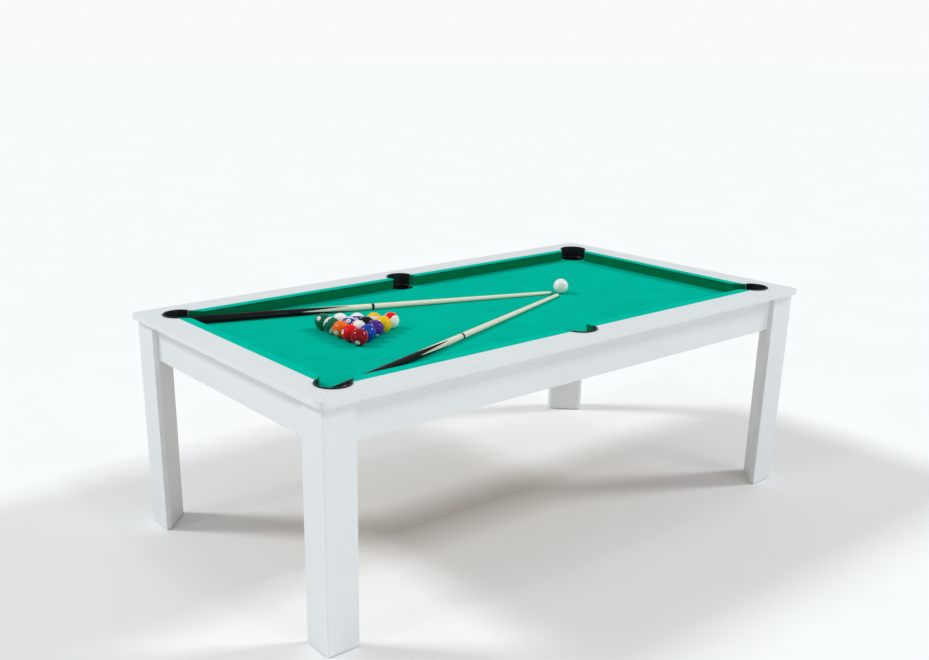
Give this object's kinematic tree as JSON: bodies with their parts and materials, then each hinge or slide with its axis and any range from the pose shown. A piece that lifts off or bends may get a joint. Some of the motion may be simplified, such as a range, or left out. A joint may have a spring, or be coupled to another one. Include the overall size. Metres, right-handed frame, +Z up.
{
  "type": "pool table",
  "caption": "White furniture-style pool table with hollow square legs, green cloth bed, drop pockets, racked balls, a cue ball and cues lying on it.",
  "frame": {"origin": "on the floor, under the middle of the table", "axes": "+X along the long side, +Y across the table towards the back rail, +Z up"},
  "size_m": [2.2, 1.2, 0.8075],
  "materials": {
    "white_laminate": "satin white melamine laminate on board",
    "bed_cloth": "short-napped woven billiard cloth",
    "cushion_cloth": "billiard cloth stretched over rubber",
    "slab_board": "raw fibreboard",
    "beam_wood": "planed softwood",
    "pocket_plastic": "moulded satin black",
    "foot_plastic": "moulded dark grey",
    "cue_maple": "varnished maple",
    "cue_butt_lacquer": "black gloss lacquer",
    "ball_white": "polished resin",
    "ball_yellow": "polished resin",
    "ball_blue": "polished resin",
    "ball_red": "polished resin",
    "ball_purple": "polished resin",
    "ball_orange": "polished resin",
    "ball_green": "polished resin",
    "ball_maroon": "polished resin",
    "ball_black": "polished resin"
  },
  "bodies": {
    "table": {"rail_front": "white_laminate", "rail_right": "white_laminate", "rail_back": "white_laminate", "rail_left": "white_laminate", "apron_front": "white_laminate", "apron_right": "white_laminate", "apron_back": "white_laminate", "apron_left": "white_laminate", "cushion_front_left": "cushion_cloth", "cushion_front_right": "cushion_cloth", "cushion_back_left": "cushion_cloth", "cushion_back_right": "cushion_cloth", "cushion_left": "cushion_cloth", "cushion_right": "cushion_cloth", "bed_slab": "slab_board", "bed_cloth": "bed_cloth", "cross_beam_left": "beam_wood", "cross_beam_right": "beam_wood", "pocket_front_left": "pocket_plastic", "pocket_front_middle": "pocket_plastic", "pocket_front_right": "pocket_plastic", "pocket_back_left": "pocket_plastic", "pocket_back_middle": "pocket_plastic", "pocket_back_right": "pocket_plastic", "leg_front_left_board_front": "white_laminate", "leg_front_left_board_left": "white_laminate", "leg_front_left_panel": "white_laminate", "leg_front_right_board_right": "white_laminate", "leg_front_right_board_front": "white_laminate", "leg_front_right_panel": "white_laminate", "leg_back_right_board_back": "white_laminate", "leg_back_right_board_right": "white_laminate", "leg_back_right_panel": "white_laminate", "leg_back_left_board_left": "white_laminate", "leg_back_left_board_back": "white_laminate", "leg_back_left_panel": "white_laminate"},
    "foot_front_left": {"foot_front_left": "foot_plastic"},
    "foot_front_right": {"foot_front_right": "foot_plastic"},
    "foot_back_right": {"foot_back_right": "foot_plastic"},
    "foot_back_left": {"foot_back_left": "foot_plastic"},
    "ball_cue": {"ball_cue": "ball_white"},
    "ball_01": {"ball_01": "ball_yellow"},
    "ball_02": {"ball_02": "ball_blue"},
    "ball_03": {"ball_03": "ball_red"},
    "ball_04": {"ball_04": "ball_purple"},
    "ball_05": {"ball_05": "ball_orange"},
    "ball_06": {"ball_06": "ball_green"},
    "ball_07": {"ball_07": "ball_maroon"},
    "ball_08": {"ball_08": "ball_black"},
    "ball_09": {"ball_09": "ball_yellow"},
    "ball_10": {"ball_10": "ball_blue"},
    "ball_11": {"ball_11": "ball_red"},
    "ball_12": {"ball_12": "ball_purple"},
    "ball_13": {"ball_13": "ball_orange"},
    "ball_14": {"ball_14": "ball_green"},
    "ball_15": {"ball_15": "ball_maroon"},
    "cue_far": {"cue_far_shaft": "cue_maple", "cue_far_butt": "cue_butt_lacquer"},
    "cue_near": {"cue_near_shaft": "cue_maple", "cue_near_butt": "cue_butt_lacquer"}
  },
  "joints": [
    {"name": "foot_front_left_screw", "type": "hinge", "parent": "table", "child": "foot_front_left", "pos_m": [-1.04002, -0.54002, 0], "axis": [0, 0, 1], "continuous": true},
    {"name": "foot_front_right_screw", "type": "hinge", "parent": "table", "child": "foot_front_right", "pos_m": [1.04002, -0.54002, 0], "axis": [0, 0, 1], "continuous": true},
    {"name": "foot_back_right_screw", "type": "hinge", "parent": "table", "child": "foot_back_right", "pos_m": [1.04002, 0.54002, 0], "axis": [0, 0, 1], "continuous": true},
    {"name": "foot_back_left_screw", "type": "hinge", "parent": "table", "child": "foot_back_left", "pos_m": [-1.04002, 0.54002, 0], "axis": [0, 0, 1], "continuous": true},
    {"name": "ball_cue_lift", "type": "slide", "parent": "table", "child": "ball_cue", "axis": [0, 0, 1], "range_m": [0, 0.12]},
    {"name": "ball_01_lift", "type": "slide", "parent": "table", "child": "ball_01", "axis": [0, 0, 1], "range_m": [0, 0.12]},
    {"name": "ball_02_lift", "type": "slide", "parent": "table", "child": "ball_02", "axis": [0, 0, 1], "range_m": [0, 0.12]},
    {"name": "ball_03_lift", "type": "slide", "parent": "table", "child": "ball_03", "axis": [0, 0, 1], "range_m": [0, 0.12]},
    {"name": "ball_04_lift", "type": "slide", "parent": "table", "child": "ball_04", "axis": [0, 0, 1], "range_m": [0, 0.12]},
    {"name": "ball_05_lift", "type": "slide", "parent": "table", "child": "ball_05", "axis": [0, 0, 1], "range_m": [0, 0.12]},
    {"name": "ball_06_lift", "type": "slide", "parent": "table", "child": "ball_06", "axis": [0, 0, 1], "range_m": [0, 0.12]},
    {"name": "ball_07_lift", "type": "slide", "parent": "table", "child": "ball_07", "axis": [0, 0, 1], "range_m": [0, 0.12]},
    {"name": "ball_08_lift", "type": "slide", "parent": "table", "child": "ball_08", "axis": [0, 0, 1], "range_m": [0, 0.12]},
    {"name": "ball_09_lift", "type": "slide", "parent": "table", "child": "ball_09", "axis": [0, 0, 1], "range_m": [0, 0.12]},
    {"name": "ball_10_lift", "type": "slide", "parent": "table", "child": "ball_10", "axis": [0, 0, 1], "range_m": [0, 0.12]},
    {"name": "ball_11_lift", "type": "slide", "parent": "table", "child": "ball_11", "axis": [0, 0, 1], "range_m": [0, 0.12]},
    {"name": "ball_12_lift", "type": "slide", "parent": "table", "child": "ball_12", "axis": [0, 0, 1], "range_m": [0, 0.12]},
    {"name": "ball_13_lift", "type": "slide", "parent": "table", "child": "ball_13", "axis": [0, 0, 1], "range_m": [0, 0.12]},
    {"name": "ball_14_lift", "type": "slide", "parent": "table", "child": "ball_14", "axis": [0, 0, 1], "range_m": [0, 0.12]},
    {"name": "ball_15_lift", "type": "slide", "parent": "table", "child": "ball_15", "axis": [0, 0, 1], "range_m": [0, 0.12]},
    {"name": "cue_far_lift", "type": "slide", "parent": "table", "child": "cue_far", "axis": [0, 0, 1], "range_m": [0, 0.12]},
    {"name": "cue_near_lift", "type": "slide", "parent": "table", "child": "cue_near", "axis": [0, 0, 1], "range_m": [0, 0.12]}
  ]
}
